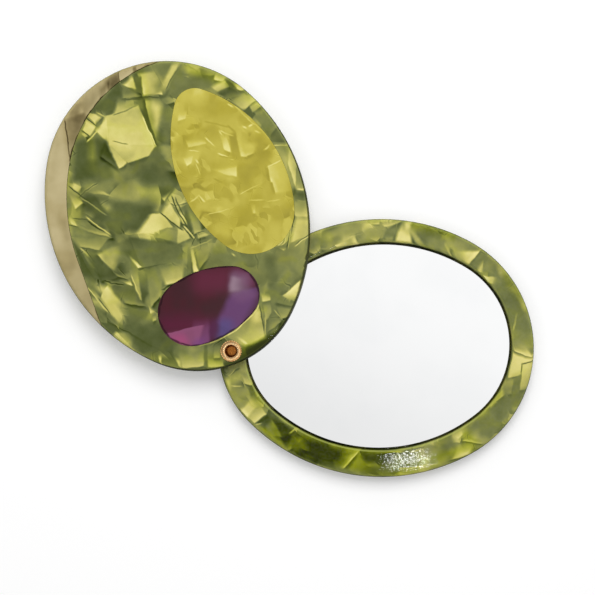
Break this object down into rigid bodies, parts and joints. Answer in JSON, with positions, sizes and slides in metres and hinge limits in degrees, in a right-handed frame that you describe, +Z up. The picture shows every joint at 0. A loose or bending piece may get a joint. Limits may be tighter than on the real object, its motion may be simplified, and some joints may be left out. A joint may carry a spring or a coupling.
{
  "type": "compact mirror",
  "caption": "Swivel compact mirror: egg-shaped pearl acetate frame with a recessed mirror and a flat inlaid cover that turns about a rolled copper rivet.",
  "frame": {"origin": "middle of the back plate's underside, on the surface that the mirror lies on", "axes": "+X along the frame's long axis away from the rivet, +Z up, out of the mirror's face"},
  "size_m": [0.1298, 0.1109, 0.0088],
  "materials": {
    "green_acetate": "polished pearl cellulose acetate",
    "beige_acetate": "polished pearl cellulose acetate",
    "yellow_acetate": "polished pearl cellulose acetate",
    "purple_acetate": "polished cellulose acetate",
    "mirror": "silvered glass",
    "copper": "bright copper plate",
    "nylon": "natural nylon",
    "adhesive": "double-sided foam tape"
  },
  "bodies": {
    "mirror_base": {"back_plate": "green_acetate", "frame_ring": "green_acetate", "mirror_adhesive": "adhesive", "mirror_glass": "mirror", "pivot_rivet": "copper", "clinch_washer": "copper", "friction_washer": "nylon"},
    "cover": {"cover_plate": "green_acetate", "crescent_inlay": "beige_acetate", "large_oval_inlay": "yellow_acetate", "small_oval_inlay": "purple_acetate"}
  },
  "joints": [
    {"name": "cover_swivel", "type": "hinge", "parent": "mirror_base", "child": "cover", "pos_m": [-0.03835, -0.00065, 0.00645], "axis": [0, 0, 1], "continuous": true}
  ]
}
